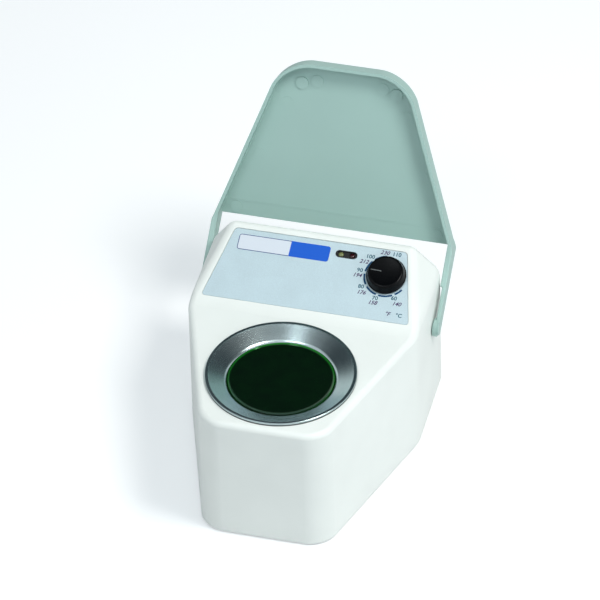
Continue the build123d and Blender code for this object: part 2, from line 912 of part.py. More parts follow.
def lid_tray():
    tray = Pos(0, 0, -lid_depth) * extrude(tray_face(), lid_depth)
    back = tray.edges().group_by(Axis.Z)[0].filter_by(lambda e: e.center().Y > 0)
    tray = fillet(back, lid_edge_radius)
    hollow = Pos(0, 0, lid_wall - lid_depth) * extrude(tray_face(lid_wall), lid_depth)
    tray -= hollow
    tray += mould_marks()
    keep = Pos(0, tray_start, 0) * Box(
        4 * lid_half_width,
        4 * lid_length,
        4 * lid_depth,
        align=(Align.CENTER, Align.MIN, Align.CENTER),
    )
    return tray & keep


def lid_arm():
    """The right arm with its hinge pin, in lid coordinates."""
    hinge_end = Pos(*hinge_in_lid) * Circle(arm_width / 2)
    elbow = Pos(lid_depth / 5, -lid_depth / 2) * Circle(lid_depth / 2)
    side = make_hull((hinge_end + elbow).edges())
    inner = lid_half_width - arm_thickness
    arm = Pos(inner, 0, 0) * extrude(Plane.YZ * side, arm_thickness)
    thin = lid_half_width - arm_thin
    hinge = Pos(0, *hinge_in_lid) * Rot(0, 90, 0)
    arm -= hinge * Pos(0, 0, inner) * Cylinder(
        arm_thin_length, 2 * (thin - inner), align=(Align.CENTER,) * 3
    )
    over = extrude(tray_face(), 4 * lid_depth, both=True)
    below = Box(
        4 * lid_half_width,
        4 * arm_reach,
        8 * arm_reach,
        align=(Align.CENTER, Align.MAX, Align.CENTER),
    )
    arm = arm & (over + below)
    pin_end = half_width - wall - hinge_boss_depth + hinge_pin_short
    arm += hinge * Pos(0, 0, pin_end) * Cylinder(
        hinge_pin_radius, thin + arm_thin / 2 - pin_end, align=MIN_Z
    )
    collar = half_width + hinge_collar_gap
    arm += hinge * Pos(0, 0, collar) * Cylinder(
        hinge_collar_radius, thin + arm_thin / 2 - collar, align=MIN_Z
    )
    return arm


def lid():
    arm = lid_arm()
    whole = lid_tray() + arm + mirror(arm, Plane.YZ)
    return lid_plane * whole


nodes = {
    "housing_shell": housing_shell(),
    "base_plate": base_plate(),
    "rubber_feet": rubber_feet(),
    "base_screws": base_screws(),
    "panel_plate": panel_plate(),
    "lamp_holder": lamp_holder(),
    "power_lamp": lamp(0),
    "heating_lamp": lamp(1),
    "control_knob": control_knob(),
    "knob_pointer": knob_pointer(),
    "thermostat_shaft": thermostat_shaft(),
    "thermostat_body": thermostat_body(),
    "thermostat_screws": thermostat_screws(),
    "sensor_bulb": sensor_bulb(),
    "capillary_tube": capillary_tube(),
    "dipping_pot": dipping_pot(),
    "wax_fill": wax_fill(),
    "pot_gasket": pot_gasket(),
    "pot_spacer": pot_spacer(),
    "pot_screw": pot_screw(),
    "heater_band": heater_band(),
    "heater_clamp_screw": clamp_screw(),
    "insulation_sleeve": insulation_sleeve(),
    "temperature_limiter": limiter(),
    "limiter_screws": limiter_screws(),
    "power_inlet": power_inlet(),
    "inlet_pins": inlet_pins(),
    "inlet_screws": inlet_screws(),
    "terminal_block": terminal_block(),
    "terminal_screws": terminal_screws(),
    "lid": lid(),
}

os.makedirs("parts", exist_ok=True)
for name, shape in nodes.items():
    if isinstance(shape, list):
        shape = Compound(children=shape)
    export_step(shape, f"parts/{name}.step")
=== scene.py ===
from math import cos, degrees, pi, radians, sin, tan

import bmesh
import bpy
from mathutils import Matrix, Vector


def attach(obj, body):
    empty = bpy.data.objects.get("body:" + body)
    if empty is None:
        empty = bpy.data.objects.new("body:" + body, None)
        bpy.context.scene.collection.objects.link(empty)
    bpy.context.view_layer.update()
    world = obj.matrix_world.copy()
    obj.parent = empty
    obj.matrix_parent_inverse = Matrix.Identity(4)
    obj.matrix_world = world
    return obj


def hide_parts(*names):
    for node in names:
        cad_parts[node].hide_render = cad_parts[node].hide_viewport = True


# Dental lab wax heater. Pieces are modelled in millimetres and scaled to metres at the end.
mm = 0.001

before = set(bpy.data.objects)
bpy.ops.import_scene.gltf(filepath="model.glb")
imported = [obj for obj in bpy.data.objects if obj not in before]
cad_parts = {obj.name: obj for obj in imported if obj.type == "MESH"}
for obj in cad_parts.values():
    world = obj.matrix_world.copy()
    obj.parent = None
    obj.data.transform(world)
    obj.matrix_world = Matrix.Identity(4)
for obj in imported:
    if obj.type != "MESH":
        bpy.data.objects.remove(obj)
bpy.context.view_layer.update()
print("frame loaded:", len(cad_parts), "nodes")


# colours and shader maths
def paint(red, green, blue):
    # screen colour 0-255 to the linear colour that Blender wants
    def linear(value):
        value /= 255
        return value / 12.92 if value <= 0.04045 else ((value + 0.055) / 1.055) ** 2.4

    return (linear(red), linear(green), linear(blue), 1)


class Wire:
    # one output socket that can be used in sums
    def __init__(self, graph, socket):
        self.graph, self.socket = graph, socket

    def maths(self, operation, first, second):
        return self.graph.node("ShaderNodeMath", {"operation": operation}, {0: first, 1: second})

    def __add__(self, other):
        return self.maths("ADD", self, other)

    def __sub__(self, other):
        return self.maths("SUBTRACT", self, other)

    def __rsub__(self, other):
        return self.maths("SUBTRACT", other, self)

    def __mul__(self, other):
        return self.maths("MULTIPLY", self, other)

    def __truediv__(self, other):
        return self.maths("DIVIDE", self, other)

    def __pow__(self, other):
        return self.maths("POWER", self, other)

    __radd__, __rmul__ = __add__, __mul__

    def clamp(self):
        return self.graph.node("ShaderNodeClamp", {}, {"Value": self})


class Graph:
    # a node tree in which values, colours and wires can be mixed freely
    def __init__(self, tree):
        self.tree = tree

    def node(self, kind, settings, inputs, output=0):
        made = self.tree.nodes.new(kind)
        for setting, value in settings.items():
            if setting == "stops":
                for spot, (place, color) in zip(made.color_ramp.elements, value):
                    spot.position, spot.color = place, color
            else:
                setattr(made, setting, value)
        for socket, value in inputs.items():
            if isinstance(value, Wire):
                self.tree.links.new(value.socket, made.inputs[socket])
            else:
                made.inputs[socket].default_value = value
        return Wire(self, made.outputs[output])

    def mix(self, amount, first, second):
        return self.node("ShaderNodeMix", {"data_type": "RGBA"}, {0: amount, 6: first, 7: second}, 2)


class Finish(Graph):
    # a material with one Principled shader
    def __init__(self, name, color, roughness, metallic=0.0, **fixed):
        self.material = bpy.data.materials.new(name)
        self.material.use_nodes = True
        super().__init__(self.material.node_tree)
        self.shader = self.tree.nodes["Principled BSDF"]
        self.feed("Base Color", color)
        self.feed("Roughness", roughness)
        self.feed("Metallic", metallic)
        for socket, value in fixed.items():
            self.feed(socket.replace("_", " "), value)
        self.material.diffuse_color = color

    def feed(self, socket, value):
        if isinstance(value, Wire):
            self.tree.links.new(value.socket, self.shader.inputs[socket])
        else:
            self.shader.inputs[socket].default_value = value

    def place(self):
        return self.node("ShaderNodeTexCoord", {}, {}, "Object")

    def axis(self, letter):
        return self.node("ShaderNodeSeparateXYZ", {}, {"Vector": self.place()}, letter)

    def noise(self, size, detail=3.0, vector=None):
        # size is the width of one blotch in millimetres
        inputs = {"Vector": vector or self.place(), "Scale": 1 / (size * mm), "Detail": detail}
        return self.node("ShaderNodeTexNoise", {}, inputs, "Fac")

    def bump(self, height, depth):
        # depth in millimetres
        normal = self.node("ShaderNodeBump", {}, {"Height": height, "Distance": depth * mm}, "Normal")
        self.feed("Normal", normal)


def mouldedPlastic(name, color, roughness, grain=0.35, depth=0.012, drift=0.05, **fixed):
    # fine spark-eroded texture with a slow drift of tone
    finish = Finish(name, color, roughness, **fixed)
    darker = tuple(c * (1 - 2 * drift) for c in color[:3]) + (1,)
    slow = finish.noise(28, 2)
    finish.feed("Base Color", finish.mix(slow, darker, color))
    fine = finish.noise(grain, 2)
    finish.feed("Roughness", roughness + (fine - 0.5) * 0.16 + (slow - 0.5) * 0.08)
    finish.bump(fine, depth)
    return finish.material


def sheetMetal(name, color, roughness, **fixed):
    # zinc or nickel plate: cloudy tone, fine scratches
    finish = Finish(name, color, roughness, 1.0, **fixed)
    cloud = finish.noise(3.0, 4)
    stretch = finish.node("ShaderNodeMapping", {}, {"Vector": finish.place(), "Scale": (1, 1, 14)})
    scratch = finish.noise(0.6, 3, stretch)
    shade = tuple(c * 0.72 for c in color[:3]) + (1,)
    finish.feed("Base Color", finish.mix(cloud, shade, color))
    finish.feed("Roughness", roughness + (cloud - 0.5) * 0.25)
    finish.bump(scratch, 0.01)
    return finish.material


def softRubber(name, color, roughness):
    finish = Finish(name, color, roughness)
    dust = (finish.noise(1.6, 5) - 0.45).clamp() * 1.6
    pale = tuple(c * 2.2 + 0.01 for c in color[:3]) + (1,)
    finish.feed("Base Color", finish.mix(dust, color, pale))
    finish.feed("Roughness", roughness + dust * 0.2)
    finish.bump(finish.noise(0.5, 2), 0.02)
    return finish.material


def printedSheet(name, color):
    # silver-grey printed film with a fine metallic speckle
    finish = Finish(name, color, 0.42, 0.15)
    speckle = finish.noise(0.28, 2)
    blotch = finish.noise(9, 3)
    bright = tuple(min(1, c * 1.16) for c in color[:3]) + (1,)
    dark = tuple(c * 0.86 for c in color[:3]) + (1,)
    finish.feed("Base Color", finish.mix((speckle * 1.6 + blotch * 0.4 - 0.5).clamp(), dark, bright))
    finish.feed("Roughness", 0.36 + speckle * 0.14)
    finish.bump(speckle, 0.006)
    return finish.material


def ink(name, color):
    finish = Finish(name, color, 0.45, Specular_IOR_Level=0.15)
    thin = finish.noise(0.25, 2)
    pale = tuple(c * 0.9 + 0.04 for c in color[:3]) + (1,)
    finish.feed("Base Color", finish.mix((thin - 0.35).clamp() * 0.5, color, pale))
    finish.bump(thin, 0.003)
    return finish.material


def turnedMetal(name, color, centreY):
    # fine concentric tool marks round the pot's axis
    finish = Finish(name, color, 0.18, 1.0)
    across = finish.axis("X")
    along = finish.axis("Y") - centreY * mm
    radius = (across * across + along * along) ** 0.5
    rings = finish.node("ShaderNodeCombineXYZ", {}, {"X": radius, "Y": 0.0, "Z": finish.axis("Z")})
    marks = finish.noise(0.10, 4, rings)
    broad = finish.noise(1.4, 3, rings)
    cloud = finish.noise(7, 3)
    shade = tuple(c * 0.70 for c in color[:3]) + (1,)
    tone = (marks * 0.6 + broad * 0.5 - 0.1 + cloud * 0.2).clamp()
    finish.feed("Base Color", finish.mix(tone, shade, color))
    finish.feed("Roughness", 0.14 + marks * 0.14 + cloud * 0.05)
    finish.bump(marks + broad * 0.4, 0.006)
    return finish.material


def waxFinish(name, centreY, radiusAtWall):
    # dark green, clearer and lighter in the thin film by the wall: partly the film's own colour, partly
    # a painted glow of light through it, painted lighter still on the pot's far side
    deep, edge = paint(2, 9, 5), paint(34, 140, 44)
    finish = Finish(name, deep, 0.06, 0.0, Specular_Tint=(0.4, 1, 0.5, 1), Specular_IOR_Level=0.6)
    across = finish.axis("X")
    along = finish.axis("Y") - centreY * mm
    radius = (across * across + along * along) ** 0.5
    filmStart = 0.955           # share of the wall's radius
    # lighter towards the wall: the thin film's own colour plus a painted glow of light through it
    filmAndGlow = ((radius / (radiusAtWall * mm) - filmStart) / (1 - filmStart)).clamp() ** 1.6
    cloud = finish.noise(6, 3)
    # painted light: the band by the wall is painted lighter on the pot's far side and darker on the
    # near side
    rear = (along / (radiusAtWall * 2 * mm) + 0.55).clamp()
    finish.feed("Base Color", finish.mix((filmAndGlow * rear * 0.95 + cloud * 0.03).clamp(), deep, edge))
    return finish.material


def lens(name, color, glow):
    finish = Finish(name, color, 0.12, 0.0, Transmission_Weight=0.35, IOR=1.49)
    facet = finish.noise(0.5, 1)
    finish.feed("Base Color", finish.mix(facet, tuple(c * 0.6 for c in color[:3]) + (1,), color))
    finish.feed("Emission Color", color)
    finish.feed("Emission Strength", glow)
    return finish.material


def feltFinish(name, color):
    finish = Finish(name, color, 0.95, 0.0, Sheen_Weight=0.4)
    stretch = finish.node("ShaderNodeMapping", {}, {"Vector": finish.place(), "Scale": (1, 1, 5)})
    fibre = finish.noise(0.5, 5, stretch)
    finish.feed("Base Color", finish.mix(fibre, tuple(c * 0.7 for c in color[:3]) + (1,), color))
    finish.bump(fibre, 0.15)
    return finish.material


# tools that model in edit mode
def leaveEdit():
    if bpy.context.object and bpy.context.object.mode != "OBJECT":
        bpy.ops.object.mode_set(mode="OBJECT")
    bpy.ops.object.select_all(action="DESELECT")


def only(piece):
    leaveEdit()
    piece.select_set(True)
    bpy.context.view_layer.objects.active = piece


def edit(piece):
    only(piece)
    bpy.ops.object.mode_set(mode="EDIT")
    bpy.ops.mesh.select_mode(type="VERT")
    bpy.ops.mesh.select_all(action="SELECT")


def pick(kind, test):
    # selects the vertices, edges or faces that pass the test
    bpy.ops.mesh.select_mode(type=kind)
    bpy.ops.mesh.select_all(action="DESELECT")
    mesh = bmesh.from_edit_mesh(bpy.context.object.data)
    items = {"VERT": mesh.verts, "EDGE": mesh.edges, "FACE": mesh.faces}[kind]
    for item in items:
        if test(item):
            item.select_set(True)
    mesh.select_flush_mode()
    bmesh.update_edit_mesh(bpy.context.object.data)


def middle(item):
    return sum((v.co for v in item.verts), Vector()) / len(item.verts)


def middleOf(piece):
    # the middle of the vertices picked in edit mode
    chosen = [v.co for v in bmesh.from_edit_mesh(piece.data).verts if v.select]
    return sum(chosen, Vector()) / len(chosen)


def span(edge):
    return edge.verts[1].co - edge.verts[0].co


def turn(edge):
    return degrees(edge.calc_face_angle(0))


def newBox(name, low, high):
    leaveEdit()
    size = Vector(high) - Vector(low)
    bpy.ops.mesh.primitive_cube_add(size=1, location=(Vector(high) + Vector(low)) / 2, scale=size)
    piece = bpy.context.object
    piece.name = name
    bpy.ops.object.transform_apply(location=True, rotation=True, scale=True)
    return piece


def newRod(name, radius, low, high, sides=48):
    # an upright cylinder on the Z axis, from low to high
    leaveEdit()
    bpy.ops.mesh.primitive_cylinder_add(
        vertices=sides, radius=radius, depth=high - low, location=(0, 0, (low + high) / 2)
    )
    piece = bpy.context.object
    piece.name = name
    bpy.ops.object.transform_apply(location=True, rotation=True, scale=True)
    return piece


def newTurned(name, rings, sides=160):
    # a closed turned piece: rings of (radius, height) from the bottom's middle round to the top's
    leaveEdit()
    radius, height = rings[0]
    bpy.ops.mesh.primitive_circle_add(
        vertices=sides, radius=radius, location=(0, 0, height), fill_type="NGON"
    )
    piece = bpy.context.object
    piece.name = name
    bpy.ops.object.transform_apply(location=True, rotation=True, scale=True)
    edit(piece)
    for nextRadius, nextHeight in rings[1:]:
        bpy.ops.mesh.extrude_region_move(TRANSFORM_OT_translate={"value": (0, 0, nextHeight - height)})
        ratio = nextRadius / radius
        bpy.ops.transform.resize(value=(ratio, ratio, 1), center_override=(0, 0, nextHeight))
        radius, height = nextRadius, nextHeight
    bpy.ops.mesh.select_all(action="SELECT")
    bpy.ops.mesh.normals_make_consistent(inside=False)
    leaveEdit()
    return piece


def newSlab(name, corners, radii, low, high, steps=8):
    # an upright prism on a rounded outline: corners of (x, y) and one radius for each
    leaveEdit()
    bpy.ops.mesh.primitive_plane_add(size=1, location=(0, 0, 0))
    piece = bpy.context.object
    piece.name = name
    edit(piece)
    mesh = bmesh.from_edit_mesh(piece.data)
    order = sorted(mesh.verts, key=lambda v: (v.co.y > 0, v.co.x if v.co.y < 0 else -v.co.x))
    for vertex, (x, y) in zip(order, corners):
        vertex.co = (x, y, low)
    bmesh.update_edit_mesh(piece.data)
    for (x, y), radius in zip(corners, radii):
        if radius:
            pick("VERT", lambda v: (v.co - Vector((x, y, low))).length < 0.01)
            bpy.ops.mesh.bevel(offset=radius, affect="VERTICES", segments=steps, clamp_overlap=False)
    bpy.ops.mesh.select_all(action="SELECT")
    bpy.ops.mesh.extrude_region_move(TRANSFORM_OT_translate={"value": (0, 0, high - low)})
    bpy.ops.mesh.select_all(action="SELECT")
    bpy.ops.mesh.normals_make_consistent(inside=False)
    leaveEdit()
    return piece


def move(piece, matrix):
    piece.data.transform(matrix)
    if matrix.determinant() < 0:
        edit(piece)
        bpy.ops.mesh.flip_normals()
        leaveEdit()
    return piece


def sliceOff(point, normal, keepBoth=False):
    bpy.ops.mesh.select_all(action="SELECT")
    bpy.ops.mesh.bisect(
        plane_co=point, plane_no=normal, use_fill=not keepBoth, clear_outer=not keepBoth, threshold=1e-5
    )


def applied(piece, kind, **settings):
    only(piece)
    modifier = piece.modifiers.new(kind.title(), kind)
    for setting, value in settings.items():
        setattr(modifier, setting, value)
    bpy.ops.object.modifier_apply(modifier=modifier.name)
    return piece


def carve(piece, tools, operation="DIFFERENCE", folded=False):
    for tool in tools:
        applied(piece, "BOOLEAN", object=tool, operation=operation, solver="EXACT", use_self=folded)
        bpy.data.objects.remove(tool)
    return piece


def join(pieces):
    leaveEdit()
    for piece in pieces:
        piece.select_set(True)
    bpy.context.view_layer.objects.active = pieces[0]
    bpy.ops.object.join()
    return pieces[0]


def softened(piece, width, steps=3, angle=38):
    return applied(
        piece, "BEVEL", width=width, segments=steps, limit_method="ANGLE",
        angle_limit=radians(angle), use_clamp_overlap=True,
    )


def finished(piece, body, material, replaced=(), angle=30, weighted=True):
    piece.data.transform(Matrix.Scale(mm, 4))
    only(piece)
    bpy.ops.object.shade_smooth_by_angle(angle=radians(angle))
    if weighted:
        applied(piece, "WEIGHTED_NORMAL", keep_sharp=True, weight=100)
    piece.data.materials.clear()
    piece.data.materials.append(material)
    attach(piece, body)
    if replaced:
        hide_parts(*replaced)
    print("made", piece.name, len(piece.data.polygons), "faces")
    return piece


# camera, lamps and floor
photoView = {
    "azimuth": 15.217,          # degrees to the right of the front
    "elevation": 41.247,
    "roll": -1.652,
    "target": (-2.42, -2.94, 77.47),
    "distance": 2423.2,
    "lens": 299.3,
    "sensor": 36,
    "clipEnd": 20,              # metres
}


def makeCamera(v):
    side, lift, roll = (radians(v[k]) for k in ("azimuth", "elevation", "roll"))
    back = Vector((sin(side) * cos(lift), -cos(side) * cos(lift), sin(lift)))
    right = Vector((0, 0, 1)).cross(back).normalized()
    up = back.cross(right)
    across = right * cos(roll) + up * sin(roll)
    above = up * cos(roll) - right * sin(roll)
    bpy.ops.object.camera_add()
    camera = bpy.context.object
    camera.name = "photoCamera"
    place = (Vector(v["target"]) + back * v["distance"]) * mm
    aim = Matrix((across, above, back)).transposed().to_4x4()
    camera.matrix_world = Matrix.Translation(place) @ aim
    camera.data.lens = v["lens"]
    camera.data.sensor_width = v["sensor"]
    camera.data.clip_end = v["clipEnd"]
    bpy.context.scene.camera = camera


studio = {
    "lamps": {                  # place, size, watts and colour
        "keyLamp": ((440, -110, 890), (280, 280), 4.9, (1, 0.99, 0.96)),
        "softBox": ((-210, -540, 860), (400, 220), 1.65, (0.88, 0.96, 1)),
        "sideLamp": ((760, -400, 330), (420, 320), 1.35, (0.84, 0.94, 1)),
        "topBox": ((-160, -75, 850), (150, 110), 0.16, (0.9, 0.97, 1)),
    },
    "aim": (0, -20, 60),
    "paper": (0.80, 0.80, 0.80, 1),
    "paperGlow": (0.30, 0.31, 0.32, 1),
    "paperWidth": 12,           # metres
    "sky": (0.40, 0.44, 0.46, 1),
    "front": (0.80, 0.84, 0.86, 1),
    "backLow": (0.88, 0.96, 0.95, 1),
    "backHigh": (0.045, 0.06, 0.07, 1),
    "backEdge": (0.38, 0.50),   # the back wall turns from light to dark between these heights
    "sideEdge": (0.42, 6),      # where the room turns from front to back, and how fast
}


def makeLamp(name, place, size, power, color):
    bpy.ops.object.light_add(type="AREA", location=Vector(place) * mm)
    lamp = bpy.context.object
    lamp.name = name
    lamp.data.shape = "RECTANGLE"
    lamp.data.size, lamp.data.size_y = size[0] * mm, size[1] * mm
    lamp.data.energy, lamp.data.color = power, color
    aim = Vector(studio["aim"]) - Vector(place)
    lamp.rotation_euler = aim.to_track_quat("-Z", "Y").to_euler()


def makeStage():
    for name, values in studio["lamps"].items():
        makeLamp(name, *values)
    leaveEdit()
    bpy.ops.mesh.primitive_plane_add(size=studio["paperWidth"], location=(0, 0, 0))
    floor = bpy.context.object
    floor.name = "studioFloor"
    edit(floor)
    bpy.ops.mesh.subdivide(number_cuts=3)
    leaveEdit()
    finish = Finish("floorPaper", studio["paper"], 0.9)
    seen = finish.node("ShaderNodeLightPath", {}, {}, "Is Camera Ray")
    finish.feed("Emission Color", finish.mix(seen, (0, 0, 0, 1), studio["paperGlow"]))
    finish.feed("Emission Strength", 1.0)
    floor.data.materials.append(finish.material)


def makeWorld():
    # white to the camera; gloss and metal see a room that is bright in front and low behind
    world = bpy.data.worlds.new("studioRoom")
    bpy.context.scene.world = world
    world.use_nodes = True
    room = Graph(world.node_tree)

    def ray(kind):
        return room.node("ShaderNodeLightPath", {}, {}, kind)

    def way(letter):
        direction = room.node("ShaderNodeTexCoord", {}, {}, "Generated")
        return room.node("ShaderNodeSeparateXYZ", {}, {0: direction}, letter)

    low, high = studio["backEdge"]
    stops = [(low, studio["backLow"]), (high, studio["backHigh"])]
    back = room.node("ShaderNodeValToRGB", {"stops": stops}, {0: way("Z")})
    edge, speed = studio["sideEdge"]
    behind = ((way("Y") * 0.5 + 0.5 - edge) * speed).clamp()
    walls = room.mix(behind, studio["front"], back)
    mirrored = (ray("Is Glossy Ray") + ray("Is Transmission Ray")).clamp()
    light = room.mix(mirrored, studio["sky"], walls)
    light = room.mix(ray("Is Camera Ray"), light, (1, 1, 1, 1))
    background = world.node_tree.nodes["Background"]
    world.node_tree.links.new(light.socket, background.inputs["Color"])


makeCamera(photoView)
makeStage()
makeWorld()
bpy.context.scene.view_settings.view_transform = "Standard"
print("camera, lamps and floor set")


# the moulded housing: level deck, sloping panel field, hipped rear roof
housing = {
    "footGap": 1.2,             # floor to the walls' lower edge
    "creaseY": -8.888,          # where the deck breaks into the sloping field
    "halfWidth": 57.9,
    "frontHalf": 30.4,
    "frontReach": 82.3,         # crease to front wall, at the foot
    "rearReach": 51.5,
    "deck": 71.2,
    "slope": 23.0,              # degrees
    "rise": 44.3,               # crease to ridge, level
    "ridgeHalf": 45.8,
    "draft": 0.3,               # degrees
    "wall": 2.2,
    "frontRound": 14.0,
    "edgeRound": 3.0,
    "cornerTurn": 71.5,         # degrees that the front corners turn through
    "potBack": 41.7,            # crease to the pot's axis
    "potHole": 34.8,
    "hubHole": 5.0,
    "hingeHole": 3.05,
    "hingeSpan": 70,            # half length of the rod that cuts both hinge holes
    "inletHeight": 22.8,
    "inletHole": (27.4, 20.0),
    "inletRound": 1.6,
    "inletScrews": (20.0, 1.7),     # place to each side, radius
    "reach": 9,                 # how far the cutting tools stand out on each side
}
creaseY, deck, slope = housing["creaseY"], housing["deck"], radians(housing["slope"])
frontY, rearY = creaseY - housing["frontReach"], creaseY + housing["rearReach"]
ridgeY = creaseY + housing["rise"]
ridgeHeight = deck + housing["rise"] * tan(slope)
potY = creaseY - housing["potBack"]
panelPlace = Matrix.Translation((0, creaseY, deck)) @ Matrix.Rotation(slope, 4, "X")

panel = {                       # places are across and up the sloping field, from the crease
    "corners": [(-51.8, 4.9), (51.8, 4.9), (43.2, 43.2), (-43.2, 43.2)],
    "corner": 1.6,
    "gap": 0.25,
    "pocket": 0.8,
    "thickness": 0.6,
    "edgeRound": 0.08,
    "knob": (35.8, 29.0),
    "lamps": (14.0, 37.4),
    "slot": (10.9, 3.9),
}
faceHeight = panel["thickness"] - panel["pocket"]


def platePrism(name, grow, low, high):
    spread = [(-grow, -grow), (grow, -grow), (grow, grow), (-grow, grow)]
    corners = [(x + dx, y + dy) for (x, y), (dx, dy) in zip(panel["corners"], spread)]
    return newSlab(name, corners, [panel["corner"] + grow] * 4, low, high, 6)


def slotPrism(name, centre, size, low, high):
    x, y = centre
    halfLength, halfTall = size[0] / 2, size[1] / 2
    corners = [(-1, -1), (1, -1), (1, 1), (-1, 1)]
    outline = [(x + sx * halfLength, y + sy * halfTall) for sx, sy in corners]
    return newSlab(name, outline, [halfTall * 0.995] * 4, low, high, 10)


def inletPlace():
    draft = radians(housing["draft"])
    side, out = Vector((-1, 0, 0)), Vector((0, cos(draft), sin(draft)))
    up = out.cross(side)
    centre = Vector((0, rearY, housing["footGap"])) + up * housing["inletHeight"]
    return Matrix.Translation(centre) @ Matrix((side, up, out)).transposed().to_4x4()


def raiseRoof(v):
    # the rear part of the level top becomes a hipped roof with a short steep rear side
    pick("FACE", lambda f: f.normal.z > 0.9 and middle(f).y > creaseY)
    bpy.ops.mesh.extrude_region_move(TRANSFORM_OT_translate={"value": (0, 0, ridgeHeight - deck)})
    for side in (1, -1):
        pick("VERT", lambda p: p.co.z > ridgeHeight - 0.1 and p.co.x * side > 1)
        bpy.ops.mesh.merge(type="CENTER")
        pick("VERT", lambda p: p.co.z > ridgeHeight - 0.1 and p.co.x * side > 1)
        top = middleOf(bpy.context.object)
        bpy.ops.transform.translate(value=Vector((side * v["ridgeHalf"], ridgeY, ridgeHeight)) - top)
    pick("FACE", lambda f: f.calc_area() < 0.01)
    bpy.ops.mesh.delete(type="FACE")
    bpy.ops.mesh.select_all(action="SELECT")
    bpy.ops.mesh.dissolve_degenerate(threshold=0.01)


def makeHousing(v):
    foot, half, draft = v["footGap"], v["halfWidth"], radians(v["draft"])
    piece = newBox("housing", (-half - 4, frontY - 3, foot), (half + 4, rearY + 3, deck))
    edit(piece)
    sliceOff((0, creaseY, 0), (0, 1, 0), keepBoth=True)
    sliceOff((0, frontY, foot), (0, -cos(draft), sin(draft)))
    sliceOff((0, rearY, foot), (0, cos(draft), sin(draft)))
    for side in (1, -1):
        sliceOff((side * half, 0, foot), (side * cos(draft), 0, sin(draft)))
        along = Vector((side * (half - v["frontHalf"]), v["frontReach"], 0)).normalized()
        outward = Vector((side * along.y, -abs(along.x), 0))
        sliceOff((side * half, creaseY, foot), outward * cos(draft) + Vector((0, 0, sin(draft))))
    bpy.ops.mesh.select_all(action="SELECT")
    bpy.ops.mesh.remove_doubles(threshold=0.12)
    raiseRoof(v)
    corner = v["frontRound"] * tan(radians(v["cornerTurn"] / 2))
    pick("EDGE", lambda e: abs(span(e).z) > 40 and middle(e).y < frontY + 2)
    bpy.ops.mesh.bevel(offset=corner, affect="EDGES", segments=16, clamp_overlap=False)
    pick("EDGE", lambda e: turn(e) > 8 and middle(e).z > foot + 1)
    bpy.ops.mesh.bevel(offset=v["edgeRound"], affect="EDGES", segments=6, clamp_overlap=False)
    pick("FACE", lambda f: f.normal.z < -0.9 and middle(f).z < foot + 0.5)
    bpy.ops.mesh.delete(type="FACE")
    applied(piece, "SOLIDIFY", thickness=v["wall"], offset=-1, use_even_offset=True)
    carve(piece, housingTools(v))
    return finished(piece, "housing", plastics["housing"], ["housing_shell"])


def housingTools(v):
    reach = v["reach"]
    wide, tall = (size / 2 for size in v["inletHole"])
    corners = [(-wide, -tall), (wide, -tall), (wide, tall), (-wide, tall)]
    plugHole = newSlab("inletTool", corners, [v["inletRound"]] * 4, -reach, reach)
    hubPlace = panelPlace @ Matrix.Translation((*panel["knob"], 0))
    potPlace = Matrix.Translation((0, potY, 0))
    tools = [
        move(platePrism("pocketTool", panel["gap"], -panel["pocket"], 6), panelPlace),
        move(slotPrism("slotTool", panel["lamps"], panel["slot"], -reach, reach), panelPlace),
        move(newRod("hubTool", v["hubHole"], -reach, reach), hubPlace),
        move(newRod("potTool", v["potHole"], deck - reach, deck + reach, 160), potPlace),
        move(plugHole, inletPlace()),
        move(newRod("hingeTool", v["hingeHole"], -v["hingeSpan"], v["hingeSpan"]), hingeTurn()),
    ]
    away, radius = v["inletScrews"]
    for side in (-1, 1):
        hole = newRod("screwTool", radius, -reach, reach, 24)
        tools.append(move(hole, inletPlace() @ Matrix.Translation((side * away, 0, 0))))
    return tools


def hingeTurn():
    return Matrix.Translation((0, lid["hingeY"], lid["hingeHeight"])) @ Matrix.Rotation(pi / 2, 4, "Y")


# the panel plate, what is printed on it, and the two lamps
dial = {
    "radius": 10.85,            # to the middle of the printed ring
    "stroke": 0.9,
    "arcStep": 2.5,             # degrees
    "arcs": [                   # degrees round the knob, from and to
        (304, 326), (260.5, 297), (219.7, 253.5), (181.5, 212.7), (140.7, 174.5), (100, 133.6),
    ],
    "digit": 2.9,
    "weight": 0.055,            # how much the digits' strokes are thickened
    "spacing": 1.02,
    "lean": 0.28,               # shear of the Fahrenheit digits
    "celsius": [                # word and its place on the panel
        ("60", 42.0, 17.8), ("70", 32.8, 16.5), ("80", 24.7, 21.6), ("90", 22.3, 30.2),
        ("100", 25.9, 38.2), ("110", 38.5, 41.3), ("°C", 46.2, 9.0),
    ],
    "fahrenheit": [
        ("140", 43.8, 15.0), ("158", 32.0, 13.9), ("176", 25.4, 18.5), ("194", 21.5, 27.4),
        ("212", 23.3, 35.1), ("230", 32.5, 41.4), ("°F", 40.4, 9.1),
    ],
    "inkHeight": 0.02,
}
label = {
    "low": (-40.4, 32.0),
    "high": (5.7, 40.4),
    "blockStart": -14.2,        # where the solid right part begins
    "line": 0.35,               # width of the outline
    "corner": 1.3,
}


def onPanel(piece):
    return move(piece, panelPlace @ Matrix.Translation((0, 0, faceHeight)))


def makeText(name, words, slant, material):
    # all the words of one ink, joined to one mesh
    made = []
    for text, x, y in words:
        leaveEdit()
        bpy.ops.object.text_add()
        letters = bpy.context.object
        letters.data.body = text
        letters.data.size = dial["digit"]
        letters.data.align_x, letters.data.align_y = "CENTER", "CENTER"
        letters.data.shear = slant
        letters.data.space_character = dial["spacing"]
        letters.data.offset = dial["weight"]
        letters.data.extrude = dial["inkHeight"] / 2
        letters.data.resolution_u = 4
        bpy.ops.object.convert(target="MESH")
        bpy.context.object.data.transform(Matrix.Translation((x, y, dial["inkHeight"] / 2)))
        made.append(bpy.context.object)
    piece = join(made)
    piece.name = name
    onPanel(piece)
    return finished(piece, "housing", material, weighted=False)


